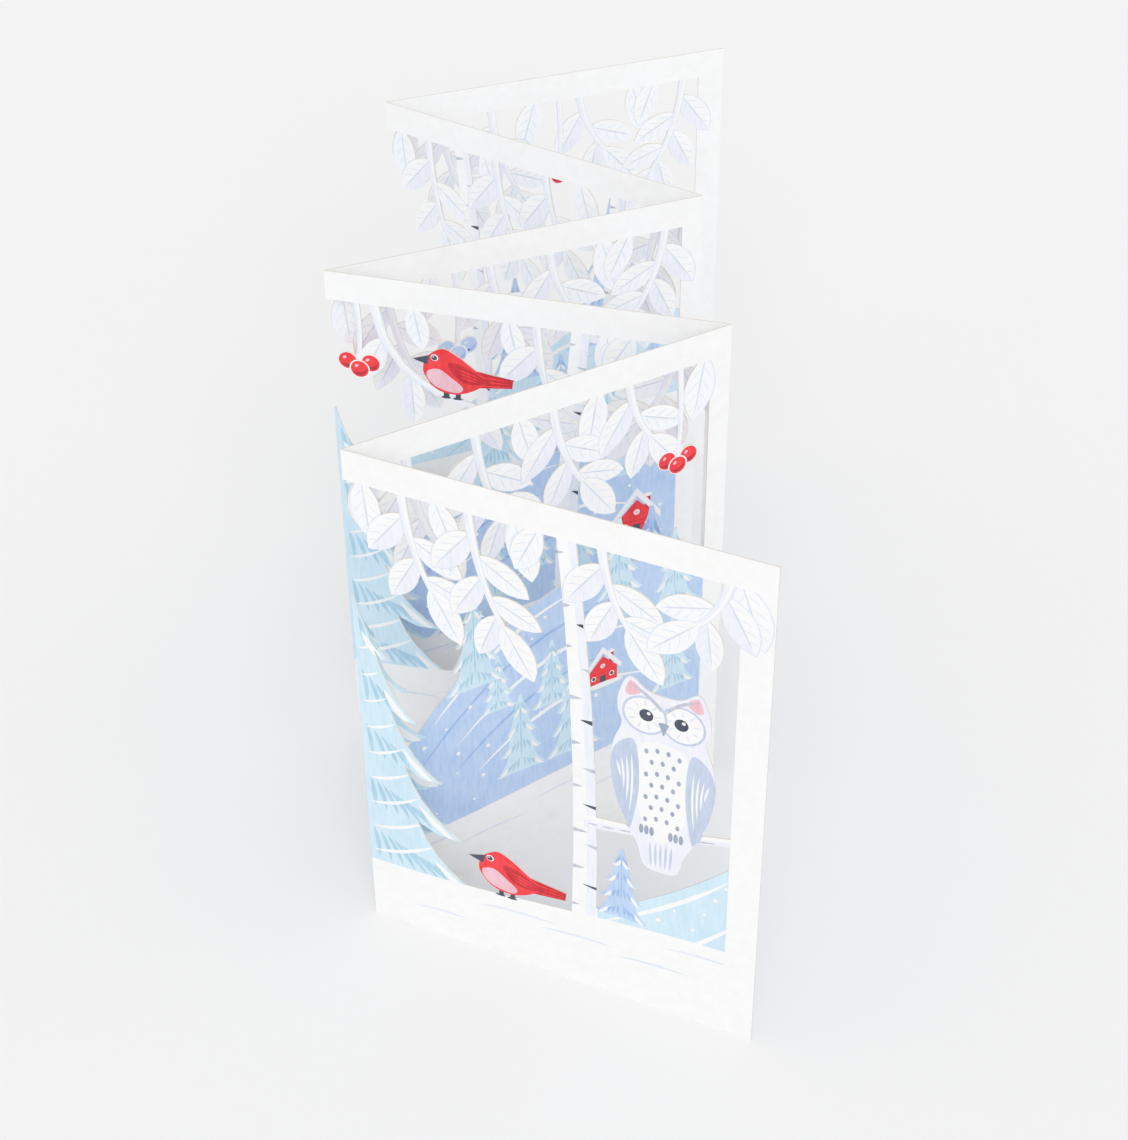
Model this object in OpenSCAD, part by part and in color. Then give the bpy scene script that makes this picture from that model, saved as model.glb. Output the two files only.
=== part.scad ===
// Concertina card: one long sheet of white card, die-cut with a winter wood
// and folded into six panels that stand in a zigzag.
// Millimetres. Z is up, Y runs from the front panel to the back one.
// Every panel is drawn flat as seen from the front, u from its left edge and v up.

/* [Sheet] */
// Width of one panel, from fold to fold
panel_w = 127; // [120:1:140]
// Height of the card
panel_h = 178; // [170:1:195]
// Thickness of the card
sheet_t = 0.4; // [0.3:0.05:0.6]

/* [Stance] */
// Angle of the first panel to straight across
angle_1 = 25; // [12:0.5:40]
// Angle of the second panel to straight across
angle_2 = 30; // [12:0.5:40]
// Angle of the third panel to straight across
angle_3 = 15; // [12:0.5:40]
// Angle of the fourth panel to straight across
angle_4 = 21.5; // [12:0.5:40]
// Angle of the fifth panel to straight across
angle_5 = 33; // [12:0.5:40]
// Angle of the sixth panel to straight across
angle_6 = 19.5; // [12:0.5:40]

/* [Frame] */
// Height of the bar along the top edge
bar_h = 10; // [7:0.5:14]
// Width of the upright at each free end of the sheet
end_w = 9.5; // [6:0.5:12]
// Width of the upright beside a plain fold
fold_w = 7; // [5:0.5:10]
// Height of the snow bank at a low fold
bank_low = 24; // [18:1:30]
// Height of the snow bank at a high fold or a free end
bank_high = 34; // [28:1:40]

/* [Foliage] */
// Length of a leaf
leaf_l = 20; // [16:0.5:22]
// Width of a leaf
leaf_w = 9.5; // [7:0.5:11]
// Width of a twig where it leaves the bar
twig_w = 3; // [2.4:0.1:4]
// Diameter of a berry
berry_d = 6.5; // [5:0.5:8]

/* [Trees] */
// Height of the half firs that meet at a fold
fold_fir_h = 106; // [90:1:110]
// Reach of their lowest bough from the fold
fold_fir_w = 38; // [30:1:42]
// Height of a fir on a hill
fir_h = 50; // [40:1:54]
// Reach of its lowest bough from its trunk
fir_w = 14; // [11:0.5:16]
// Width of a birch trunk at its foot
birch_w = 8; // [6:0.5:10]
// Width of the limb that the owl sits on, at the trunk
limb_w = 4.6; // [3:0.2:6]

/* [Birds] */
// Height of the owl from its perch to its ear tufts
owl_h = 54; // [46:1:56]
// Length of the small bird from breast to rump
bird_l = 20; // [17:1:22]

/* [Hidden] */
card_white = "#fbfbfa";
angles = [angle_1, angle_2, angle_3, angle_4, angle_5, angle_6];
panels = len(angles);
bar_v = panel_h - bar_h;
embed = 2;
lap = sheet_t / 10;
spill = 2;
tip_w = 0.6;
spread = 46;
nick = 0.5;
curve_steps = 5;
bank_steps = 16;
arc_steps = 26;

// Plan of the zigzag: the corners of the folded sheet seen from above
function goes_left(i) = i % 2 == 0;
function step_of(i) = panel_w * [(goes_left(i) ? -1 : 1) * cos(angles[i]), sin(angles[i])];
function corner_of(i) = i == 0 ? [0, 0] : corner_of(i - 1) + step_of(i - 1);
loose_corners = [for (i = [0:panels]) corner_of(i)];
corner_x = [for (c = loose_corners) c[0]];
corner_y = [for (c = loose_corners) c[1]];
plan_centre = [max(corner_x) + min(corner_x), max(corner_y) + min(corner_y)] / 2;
corners = [for (c = loose_corners) c - plan_centre];

// Heights of the snow bank at the seven corners
bank_at = [bank_high, bank_low, bank_high, bank_low, bank_high, bank_low, bank_high];
function bank_left(i) = bank_at[goes_left(i) ? i + 1 : i];
function bank_right(i) = bank_at[goes_left(i) ? i : i + 1];
function ease(s) = (1 - cos(180 * min(max(s, 0), 1))) / 2;
function bank_v(i, u) = bank_left(i) + (bank_right(i) - bank_left(i)) * ease(u / panel_w);

// Height by which a panel is drawn too tall before the sheet is trimmed, different for each
function over(i) = spill * (1 + i / panels);

// Places on a panel as shares of its width and height
function across(share) = panel_w * share;
function at(share, rise) = [across(share), panel_h * rise];

// Curves bent through three points
function unit(d) = d / norm(d);
function turned(d) = [-d[1], d[0]];
function bend(a, b, c, s) = a * (1 - s) * (1 - s) + b * 2 * s * (1 - s) + c * s * s;
function bend_way(a, b, c, s) = (b - a) * (1 - s) + (c - b) * s;
function way_angle(d) = atan2(d[1], d[0]);
function bend_side(a, b, c, s, w) = bend(a, b, c, s) + turned(unit(bend_way(a, b, c, s))) * w / 2;

// Closed smooth curve through a few points
function spline(p0, p1, p2, p3, s) =
    (p1 * 2 + (p2 - p0) * s + (p0 * 2 - p1 * 5 + p2 * 4 - p3) * s * s
        + (p1 * 3 - p0 - p2 * 3 + p3) * s * s * s) / 2;
function loop_through(pts) = let (n = len(pts))
    [for (i = [0:n - 1], k = [0:curve_steps - 1])
        spline(pts[(i + n - 1) % n], pts[i], pts[(i + 1) % n], pts[(i + 2) % n], k / curve_steps)];

// Tapering strip along a bent line: twigs, limbs and trunks
module strip(a, b, c, w_start, w_end) {
    steps = [0:1 / curve_steps:1.001];
    polygon(concat(
        [for (s = steps) bend_side(a, b, c, s, w_start + (w_end - w_start) * s)],
        [for (s = steps) bend_side(a, b, c, 1 - s, -(w_end + (w_start - w_end) * s))]));
}

// Leaf from its base at the origin to its tip along u
module leaf(size = 1) {
    l = leaf_l * size;
    w = leaf_w * size;
    r = (l * l + w * w) / (4 * w);
    translate([l / 2, 0])
        intersection() {
            translate([0, r - w / 2]) circle(r, $fn = arc_steps);
            translate([0, w / 2 - r]) circle(r, $fn = arc_steps);
        }
}

// Where a twig or leaf leaves the bar
function bar_root(share) = [across(share), bar_v + embed];

// Leafy spray that hangs from its root through a bend, with leaves on alternate sides
module spray(root, way, leaves) {
    tip = root + way;
    mid = root + [way[0] * 0.2, way[1] * 0.62];
    strip(root, mid, tip, twig_w, twig_w * 0.55);
    for (k = [1:leaves]) {
        s = k / (leaves + 0.7);
        side = (k % 2 == 0) == (way[0] > 0) ? 1 : -1;
        translate(bend(root, mid, tip, s))
            rotate(way_angle(bend_way(root, mid, tip, s)) + side * spread)
                leaf(1.02 - 0.2 * s);
    }
    translate(bend(root, mid, tip, 0.97))
        rotate(way_angle(bend_way(root, mid, tip, 1)))
            leaf();
}

// Sprays along the underside of the bar, each given as [share of the width, across, down, leaves]
// with across and down in leaf lengths
module sprays(list) {
    for (s = list)
        spray(bar_root(s[0]), [s[1], -s[2]] * leaf_l - [0, embed], s[3]);
}

// Twig that swings out from the bar as a perch, with leaves on its lower side
module perch_twig(root, mid, end) {
    strip(root, mid, end, twig_w * 1.1, twig_w * 0.6);
    for (s = [0.2, 0.45, 0.78])
        translate(bend(root, mid, end, s))
            rotate(way_angle(bend_way(root, mid, end, s)) - spread)
                leaf(0.9);
    translate(end) rotate(way_angle(end - mid)) leaf(0.9);
}

// Single leaves on the underside of the bar, each given as [share of the width, angle, size]
module bar_leaves(list) {
    for (f = list)
        translate(bar_root(f[0])) rotate(f[1]) leaf(f[2]);
}

// Cluster of three berries on a stalk from the bar, as many leaf lengths down
module berries(share, down) {
    root = bar_root(share);
    knot = root - [0, down * leaf_l + embed];
    strip(root, (root + knot + [twig_w, 0]) / 2, knot, twig_w * 0.7, twig_w * 0.5);
    for (a = [-160, -90, -20])
        translate(knot + berry_d * 0.62 * [cos(a), sin(a)])
            circle(d = berry_d, $fn = arc_steps / 2);
}

// Edge of a fir from its top to its lowest bough, on the right of its trunk
function bough(k, tiers) = pow(k / tiers, 0.8);
function fir_edge(h, w, tiers) = let (drop = h / tiers)
    [for (k = [1:tiers])
        let (from = [w * bough(k - 1, tiers) * 0.52, h - (k - 1) * drop + (k == 1 ? 0 : drop * 0.14)],
            tip = [w * bough(k, tiers), h - k * drop],
            pull = [from[0] + (tip[0] - from[0]) * 0.25, tip[1] + (from[1] - tip[1]) * 0.3])
        each concat([for (s = [0:curve_steps]) bend(from, pull, tip, s / curve_steps)],
            k == tiers ? [] : [[tip[0] * 0.74, tip[1]]])];

// Half of a fir from the middle of its trunk, with a blunt tip
module half_fir(h, w, tiers) {
    polygon(concat([[-lap, 0], [-lap, h]], [for (p = fir_edge(h, w, tiers)) p + [tip_w, 0]]));
}

module fir(h, w, tiers = 4) {
    half_fir(h, w, tiers);
    mirror([1, 0]) half_fir(h, w, tiers);
}

// Firs on a slope, each given as [share of the width, share of the height at its foot, size]
module firs(list) {
    for (f = list)
        translate(at(f[0], f[1])) fir(fir_h * f[2], fir_w * f[2]);
}

// Half fir at the left fold of a panel, standing in the snow bank
module fold_fir(reach = 1) {
    translate([0, bank_low - embed]) {
        half_fir(fold_fir_h, fold_fir_w * reach, 5);
        translate([-spill, 0]) square([spill, fold_fir_h]);
    }
}

// Bank of snow along the foot of a panel
module bank(i) {
    polygon(concat([[-spill, -over(i)]],
        [for (k = [0:bank_steps])
            let (u = (panel_w + 2 * spill) * k / bank_steps - spill) [u, bank_v(i, u)]],
        [[panel_w + spill, -over(i)]]));
}

// Hill under a smooth skyline, from start through crest to end
module hill(start, crest, end) {
    pull = crest * 2 - (start + end) / 2;
    polygon(concat([[start[0], 0]],
        [for (k = [0:bank_steps]) bend(start, pull, end, k / bank_steps)],
        [[end[0], 0]]));
}

// Birch trunk from the snow bank up to the bar, leaning by a share of the width
module birch(i, share, lean) {
    foot = [across(share), bank_v(i, across(share)) - embed];
    top = bar_root(share + lean);
    strip(foot, [across(share - lean * 0.4), (foot[1] + top[1]) / 2], top, birch_w, birch_w * 0.7);
}

// Owl, its perch at the origin
module owl() {
    half = [[0, 50], [5, 50.6], [10.4, 54], [13.4, 47.5], [13.8, 42], [12.6, 36.5], [15, 29], [15.8, 20],
        [14.2, 9], [10.8, 0], [7.2, -8], [5.2, -15], [0, -16.5]];
    other = [for (k = [len(half) - 2:-1:1]) [-half[k][0], half[k][1]]];
    polygon(loop_through(concat(half, other)) * owl_h / half[2][1]);
}

// Small plump bird facing left, its feet at the origin
module bird() {
    body = [[-8.4, 17.4], [-3.5, 20.4], [1.6, 18.4], [8.4, 13.4], [13, 9], [9, 4.4], [1.6, 1.4],
        [-6, 2.6], [-10.8, 8.4], [-10.8, 13.6]];
    beak = [[-8.5, 17], [-15.2, 14.6], [-9.5, 12.8]];
    tail = [[7, 13], [23.4, 10.8], [23, 7.2], [8, 5.2]];
    leg = [[-3.4, 4], [-1.6, 4], [-1.6, -2], [-3.4, -2]];
    size = bird_l / (body[4][0] - body[8][0]);
    scale(size) {
        polygon(loop_through(body));
        polygon(beak);
        polygon(tail);
        for (u = [0, 4.6])
            translate([u, 0]) polygon(leg);
    }
}

// Bar and snow bank that every panel has
module frame_of(i) {
    translate([-spill, bar_v]) square([panel_w + 2 * spill, bar_h + over(i)]);
    bank(i);
}

// Upright along the right side of a panel
module upright(w) {
    translate([panel_w - w, 0]) square([w + spill, panel_h]);
}

module panel_cut_1() {
    trunk = 0.57;
    perch = at(0.76, 0.415);
    bird_u = across(0.37);
    frame_of(0);
    upright(end_w);
    fold_fir();
    hill([across(0.46), bank_low], at(0.78, 0.28), at(1.02, 0.46));
    firs([[0.665, 0.19, 0.56]]);
    birch(0, trunk, -0.04);
    strip(at(trunk, 0.387), at(0.66, 0.387), at(0.933, 0.437), limb_w, limb_w * 0.6);
    translate(perch) owl();
    translate([bird_u, bank_v(0, bird_u)]) bird();
    sprays([[0.14, 0.4, 1.5, 4], [0.3, 0.5, 1.8, 5], [0.61, 0.4, 1.2, 4], [0.9, -0.45, 0.8, 3]]);
    bar_leaves([[0.045, -85, 1], [0.22, -70, 0.9], [0.41, -75, 1], [0.47, -115, 0.9], [0.92, -70, 1.1]]);
}

module panel_cut_2() {
    frame_of(1);
    upright(fold_w);
    fold_fir(0.8);
    hill(at(-0.02, 0.22), at(0.52, 0.58), at(1.02, 0.44));
    firs([[0.3, 0.43, 0.7], [0.7, 0.52, 0.58], [0.86, 0.45, 0.6]]);
    berries(0.86, 1.5);
    sprays([[0.15, 0.4, 1.6, 4], [0.32, 0.5, 1.7, 5], [0.52, 0.5, 1.4, 4], [0.72, 0.4, 1, 3]]);
    bar_leaves([[0.05, -95, 1], [0.43, -75, 0.9], [0.64, -100, 1], [0.93, -100, 1.1]]);
}

module panel_cut_3() {
    twig_root = bar_root(0.12);
    twig_mid = at(0.14, 0.75);
    twig_end = at(0.5, 0.755);
    frame_of(2);
    upright(fold_w);
    fold_fir();
    birch(2, 0.6, 0.04);
    hill([across(0.5), bank_low], at(0.78, 0.27), at(1.02, 0.37));
    firs([[0.82, 0.27, 1.2]]);
    perch_twig(twig_root, twig_mid, twig_end);
    translate(bend(twig_root, twig_mid, twig_end, 0.7) + [0, twig_w * 0.4]) bird();
    berries(0.075, 1);
    sprays([[0.53, 0.2, 1.3, 3], [0.88, -0.7, 1.6, 5]]);
    bar_leaves([[0.22, -80, 0.8], [0.46, -80, 0.8], [0.7, -80, 1.1], [0.77, -120, 0.9]]);
}

module panel_cut_4() {
    frame_of(3);
    upright(fold_w);
    fold_fir(0.8);
    hill(at(-0.02, 0.2), at(0.5, 0.5), at(1.02, 0.4));
    firs([[0.42, 0.45, 0.85], [0.74, 0.42, 0.85]]);
    berries(0.33, 1.3);
    sprays([[0.15, 0.4, 1.6, 4], [0.42, 0.5, 1.4, 4], [0.58, 0.4, 1.1, 3], [0.9, -0.6, 1.5, 5]]);
    bar_leaves([[0.04, -85, 1], [0.27, -100, 0.9], [0.72, -75, 1.1], [0.8, -115, 0.9]]);
}

module panel_cut_5() {
    frame_of(4);
    upright(fold_w);
    birch(4, 0.3, -0.05);
    birch(4, 0.72, 0.03);
    hill([across(0.4), bank_low], at(0.76, 0.235), at(1.02, 0.29));
    firs([[0.54, 0.16, 0.9], [0.86, 0.235, 0.7]]);
    sprays([[0.14, 0.3, 1.7, 4], [0.36, 0.5, 1.7, 5], [0.52, 0.4, 1.3, 3], [0.87, -0.4, 1.7, 5]]);
    bar_leaves([[0.05, -85, 1], [0.32, -70, 0.9], [0.63, -75, 1], [0.94, -95, 0.9]]);
}

module panel_cut_6() {
    frame_of(5);
    upright(end_w);
    hill([-spill, bank_low], at(0.62, 0.415), at(1.02, 0.315));
    firs([[0.36, 0.3, 0.9], [0.66, 0.35, 1.25]]);
    berries(0.5, 1.3);
    sprays([[0.15, 0.4, 1.5, 4], [0.3, 0.5, 1.7, 5], [0.56, 0.5, 1.1, 3], [0.88, -0.6, 1.7, 5]]);
    bar_leaves([[0.05, -90, 1], [0.43, -105, 1], [0.72, -75, 1], [0.79, -110, 0.9]]);
}

// Outline as a cutting die leaves it, with no slit too narrow to cut
module die_line() {
    offset(delta = -nick) offset(delta = nick) children();
}

// Stands one panel in the zigzag; its edges lap its neighbours' a little at the folds
module panel(i) {
    left = corners[goes_left(i) ? i + 1 : i];
    translate([left[0], left[1], 0])
        rotate([90, 0, goes_left(i) ? -angles[i] : angles[i]])
            linear_extrude(sheet_t, center = true)
                intersection() {
                    die_line() children();
                    translate([-lap, -panel_h]) square([panel_w + 2 * lap, panel_h * 3]);
                }
}

module card() {
    color(card_white)
        intersection() {
            union() {
                panel(0) panel_cut_1();
                panel(1) panel_cut_2();
                panel(2) panel_cut_3();
                panel(3) panel_cut_4();
                panel(4) panel_cut_5();
                panel(5) panel_cut_6();
            }
            translate([-panel_w, -panel_w * panels / 2, 0])
                cube([panel_w * 2, panel_w * panels, panel_h]);
        }
}

card();
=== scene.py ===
# Concertina card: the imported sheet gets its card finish, and both sides of its six panels their print.
# Flat places on a panel are complex numbers in millimetres, u from its left edge and v up.
import cmath
import math
import random

import bpy
from mathutils import Matrix, Vector
from mathutils.geometry import delaunay_2d_cdt


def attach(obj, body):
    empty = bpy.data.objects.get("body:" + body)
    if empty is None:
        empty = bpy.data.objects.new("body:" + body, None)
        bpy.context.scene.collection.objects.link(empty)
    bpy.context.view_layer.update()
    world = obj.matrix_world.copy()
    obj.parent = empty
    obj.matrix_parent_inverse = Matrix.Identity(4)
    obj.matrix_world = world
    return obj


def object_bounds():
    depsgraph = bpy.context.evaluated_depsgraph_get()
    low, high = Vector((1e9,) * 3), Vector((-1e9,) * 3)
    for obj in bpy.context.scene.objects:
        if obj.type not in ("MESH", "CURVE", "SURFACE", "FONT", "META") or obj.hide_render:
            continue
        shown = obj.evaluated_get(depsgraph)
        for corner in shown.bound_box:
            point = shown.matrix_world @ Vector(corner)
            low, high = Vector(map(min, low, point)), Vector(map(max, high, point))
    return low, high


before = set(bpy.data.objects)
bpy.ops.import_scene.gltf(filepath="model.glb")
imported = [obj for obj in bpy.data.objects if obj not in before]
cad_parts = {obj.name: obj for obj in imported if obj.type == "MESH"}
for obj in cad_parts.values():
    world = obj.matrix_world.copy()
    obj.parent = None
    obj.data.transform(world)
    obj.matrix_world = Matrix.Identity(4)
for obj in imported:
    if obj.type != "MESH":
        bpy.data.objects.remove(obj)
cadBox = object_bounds()
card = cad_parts["card"]
mm = 0.001
bpy.ops.object.select_all(action="DESELECT")  # the loader leaves the nodes selected
print("frame loaded:", len(card.data.polygons), "faces in the card")

# The sheet as it is cut and folded: millimetres and degrees
sheet = {
    "panelW": 127,
    "thick": 0.4,
    "turns": [25, 30, 15, 21.5, 33, 19.5],
    "barH": 10,
    "endW": 9.5,
    "foldW": 7,
    "bankLow": 24,
    "bankHigh": 34,
    "embed": 2,  # a piece runs this far into what carries it
    "spill": 2,  # fields that meet a panel's edge run this far past it
}
panelW = sheet["panelW"]
panelH = (cadBox[1].z - cadBox[0].z) / mm
barV = panelH - sheet["barH"]
embed = sheet["embed"]
spill = sheet["spill"]
bare = None  # no ink: the white card shows


# Standing the flat panels in the zigzag
def zigzagCorners():
    corners = [0j]
    for i, turn in enumerate(sheet["turns"]):
        way = cmath.rect(panelW, math.radians(turn))
        corners.append(corners[-1] + (-way.conjugate() if i % 2 == 0 else way))
    across = [c.real for c in corners]
    deep = [c.imag for c in corners]
    middle = complex(max(across) + min(across), max(deep) + min(deep)) / 2
    return [c - middle for c in corners]


corners = zigzagCorners()


def panelPlace(i):  # the left corner in plan, and the way from left to right
    left, right = (corners[i + 1], corners[i]) if i % 2 == 0 else (corners[i], corners[i + 1])
    return left, (right - left) / panelW


def standing(i, flat, out):  # out is millimetres in front of the panel's middle plane
    left, along = panelPlace(i)
    plan = left + along * complex(flat.real, -out)
    return Vector((plan.real, plan.imag, flat.imag)) * mm


# Places on a panel
def at(share, rise):
    return complex(panelW * share, panelH * rise)


def barRoot(share):  # where a twig or leaf leaves the bar
    return complex(panelW * share, barV + embed)


def bankV(u):  # top of the snow bank, low at the left edge and high at the right
    low, high = sheet["bankLow"], sheet["bankHigh"]
    share = min(max(u / panelW, 0), 1)
    return low + (high - low) * (1 - math.cos(math.pi * share)) / 2


# Drawing tools for flat outlines
def loopArea(outline):
    ahead = outline[1:] + outline[:1]
    return sum((a.conjugate() * b).imag for a, b in zip(outline, ahead)) / 2


def wayTurn(way):
    return math.degrees(cmath.phase(way))


def bend(a, b, c, s):
    return a * (1 - s) ** 2 + b * 2 * s * (1 - s) + c * s * s


def bendWay(a, b, c, s):
    return (b - a) * (1 - s) + (c - b) * s


def bendPart(a, b, c, s0, s1):  # the stretch of a bend from s0 to s1, as three points again
    start = bend(a, b, c, s0)
    return start, start + bendWay(a, b, c, s0) * (s1 - s0), bend(a, b, c, s1)


def strip(a, b, c, wStart, wEnd, shift=0.0, steps=8):  # shift is to the right, in widths
    left, right = [], []
    for k in range(steps + 1):
        s = k / steps
        way = bendWay(a, b, c, s)
        side = way / abs(way) * 1j
        w = wStart + (wEnd - wStart) * s
        middle = bend(a, b, c, s) - side * w * shift
        left.append(middle + side * w / 2)
        right.append(middle - side * w / 2)
    return left + right[::-1]


def brush(a, b, c, w, steps=6, taper=0.7):  # a stroke that thins to a point at both ends
    left, right = [], []
    for k in range(1, steps):
        s = k / steps
        way = bendWay(a, b, c, s)
        side = way / abs(way) * 1j * w / 2 * math.sin(math.pi * s) ** taper
        left.append(bend(a, b, c, s) + side)
        right.append(bend(a, b, c, s) - side)
    return [a] + left + [c] + right[::-1]


def straight(a, c, w, bow=0.0):  # bow bends the stroke to its left, as a share of its length
    return brush(a, (a + c) / 2 + (c - a) * 1j * bow, c, w)


def fan(ends, steps, count, w, bow=0.0):  # strokes side by side, each end moved on by its own step
    return [straight(ends[0] + k * steps[0], ends[1] + k * steps[1], w, bow) for k in range(count)]


def disc(middle, ru, rv=None, turn=0.0, points=18):
    rv = ru if rv is None else rv
    spin = cmath.rect(1, math.radians(turn))
    ring = [2 * math.pi * k / points for k in range(points)]
    return [middle + spin * complex(ru * math.cos(a), rv * math.sin(a)) for a in ring]


def box(low, high):
    return [low, complex(high.real, low.imag), high, complex(low.real, high.imag)]


def spline(p0, p1, p2, p3, s):
    return (p1 * 2 + (p2 - p0) * s + (p0 * 2 - p1 * 5 + p2 * 4 - p3) * s * s
            + (p1 * 3 - p0 - p2 * 3 + p3) * s ** 3) / 2


def loopThrough(points, steps=5):
    n = len(points)
    return [spline(points[i - 1], points[i], points[(i + 1) % n], points[(i + 2) % n], k / steps)
            for i in range(n) for k in range(steps)]


def flipped(outline, side=-1):  # left for right, where side is below zero
    return [p if side > 0 else -p.conjugate() for p in outline]


def bothSides(half):  # a smooth outline from its right half, drawn from top to bottom
    return loopThrough(half + flipped(half[1:-1])[::-1])


def grown(outline, middle, share):
    return [p + (p - middle) * share for p in outline]


def placed(outline, place, size=1.0, turn=0.0):
    spin = cmath.rect(size, math.radians(turn))
    return [place + p * spin for p in outline]


def lay(plate, ink, outline):  # the next shape of a plate, over those laid before it
    plate.append((ink, outline if loopArea(outline) > 0 else outline[::-1]))


def painter(plate, place, size=1.0, turn=0.0):  # lays outlines drawn about zero at one place of a plate
    def put(ink, *outlines):
        for outline in outlines:
            lay(plate, ink, placed(outline, place, size, turn))
    return put


# Leaves
leaf = {
    "length": 20,
    "width": 9.5,
    "steps": 8,
    "spread": 46,  # degrees between a leaf and its twig
    # inks of the painted shade on each leaf's lower half
    "halfShades": ("mist", "lavender"),
    # width of the frost ring round each leaf: painted shadow and outline where it lies over other leaves
    "rim": 0.45,
    "ribW": 0.55,
    "ribEnd": 0.93,  # share of the leaf's length
    "veins": 4,
    "veinFirst": 0.9,  # the first vein's place, in gaps between veins
    "veinSpare": 1.2,  # the leaf is this many gaps longer than its count of veins
    "veinW": 0.32,
    "veinReach": 0.8,  # share of the leaf's half width a little further on
    "veinAhead": 0.12,
    "veinLean": 1.15,
    "veinBow": 0.08,
}


def leafEdge(length, width):  # the upper edge, an arc from the base to the tip
    r = (length * length + width * width) / (4 * width)
    shares = [k / leaf["steps"] for k in range(leaf["steps"] + 1)]
    return [complex(length * s, math.sqrt(r * r - (length * (s - 0.5)) ** 2) - r + width / 2)
            for s in shares]


def leafOutline(length, width):
    upper = leafEdge(length, width)
    return upper + [p.conjugate() for p in upper[-2:0:-1]]


def printLeaf(plate, base, turn, size, halfShade):
    length, width, rim = leaf["length"] * size, leaf["width"] * size, leaf["rim"]
    upper = leafEdge(length, width)
    put = painter(plate, base, turn=turn)
    # a frost ring round the leaf: painted shadow and outline over the leaves beneath it
    put("frost", placed(leafOutline(length + 2 * rim, width + 2 * rim), -rim))
    put(bare, leafOutline(length, width))
    pointsRight = math.cos(math.radians(turn)) > 0
    # painted shade: one half of the leaf is tinted darker
    put(halfShade, [p.conjugate() for p in upper] if pointsRight else upper)  # the half that faces down
    for k in range(leaf["veins"]):
        s = (k + leaf["veinFirst"]) / (leaf["veins"] + leaf["veinSpare"])
        start = complex(length * s, 0)
        reach = upper[round(leaf["steps"] * min(s + leaf["veinAhead"], 1))].imag * leaf["veinReach"]
        for side in (1, -1):
            end = start + reach * complex(leaf["veinLean"], side)
            put("frost", straight(start, end, leaf["veinW"], side * leaf["veinBow"]))
    put("veinGrey", brush(0j, complex(length / 2, 0), complex(length * leaf["ribEnd"], 0), leaf["ribW"]))


# Twigs: each coat is an ink, its share of the twig's width, and how far right it lies in its own widths
twig = {
    "width": 3,
    # the frost coat shows as an outline at the twig's edges, and the lavender coat is painted shade along
    # its right side
    "coats": [("frost", 1.15, 0.0), (bare, 0.8, 0.0), ("lavender", 0.4, 0.5)],
}
spray = {
    "pull": (0.2, 0.62),  # shares of the way across and down at which the twig bends
    "thin": 0.55,
    "endGap": 0.7,
    "firstLeaf": 1.02,
    "shrink": 0.2,
    "lastLeaf": 0.97,  # share of the twig at which its end leaf starts
}
perch = {
    "thick": 1.1,
    "thin": 0.6,
    "leaves": (0.2, 0.45, 0.78),  # shares of the twig
    "leafSize": 0.9,
    "birdAt": 0.7,
    "grip": 0.4,  # the bird's feet over the twig's middle, in twig widths
}


def printTwig(plate, root, mid, tip, wStart, wEnd):
    for ink, share, shift in twig["coats"]:
        lay(plate, ink, strip(root, mid, tip, wStart * share, wEnd * share, shift))


def printSpray(plate, share, across, down, leaves):
    root = barRoot(share)
    way = complex(across * leaf["length"], -down * leaf["length"] - embed)
    mid = root + complex(way.real * spray["pull"][0], way.imag * spray["pull"][1])
    tip = root + way
    for k in range(1, leaves + 1):  # leaves on alternate sides
        s = k / (leaves + spray["endGap"])
        side = 1 if (k % 2 == 0) == (way.real > 0) else -1
        turn = wayTurn(bendWay(root, mid, tip, s)) + side * leaf["spread"]
        size = spray["firstLeaf"] - spray["shrink"] * s
        printLeaf(plate, bend(root, mid, tip, s), turn, size, leaf["halfShades"][k % 2])
    lastBase = bend(root, mid, tip, spray["lastLeaf"])
    printLeaf(plate, lastBase, wayTurn(bendWay(root, mid, tip, 1)), 1, leaf["halfShades"][0])
    printTwig(plate, root, mid, tip, twig["width"], twig["width"] * spray["thin"])


def printPerch(plate, root, mid, end):  # a twig that swings out from the bar, with leaves on its lower side
    for s in perch["leaves"]:
        turn = wayTurn(bendWay(root, mid, end, s)) - leaf["spread"]
        printLeaf(plate, bend(root, mid, end, s), turn, perch["leafSize"], leaf["halfShades"][1])
    printLeaf(plate, end, wayTurn(end - mid), perch["leafSize"], leaf["halfShades"][0])
    printTwig(plate, root, mid, end, twig["width"] * perch["thick"], twig["width"] * perch["thin"])


# Berries: places and sizes of their marks are in berry radii
berry = {
    "across": 6.5,
    "print": 5.9,  # across the coloured skin
    "halo": 0.2,  # the white rim past the die's edge
    "turns": (-160, -20, -90),  # the lowest one lies in front
    "apart": 0.62,
    "stalkW": 2.1,
    "stalkThin": 0.7,
    "red": ("red", "deepRed", "rose"),
    "blue": ("periwinkle", "deepBlue", "paleBlue"),
    "crescent": [(0.86, -2.7), (1.1, -1.3), (0.86, 0.1)],  # radius, and angle in radians
    "crescentW": 0.42,
    "shine": -0.32 + 0.38j,
    "shineR": (0.24, 0.17),
    "shineTurn": 40,
    "bud": -0.62j,
    "budR": 0.13,
}


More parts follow.
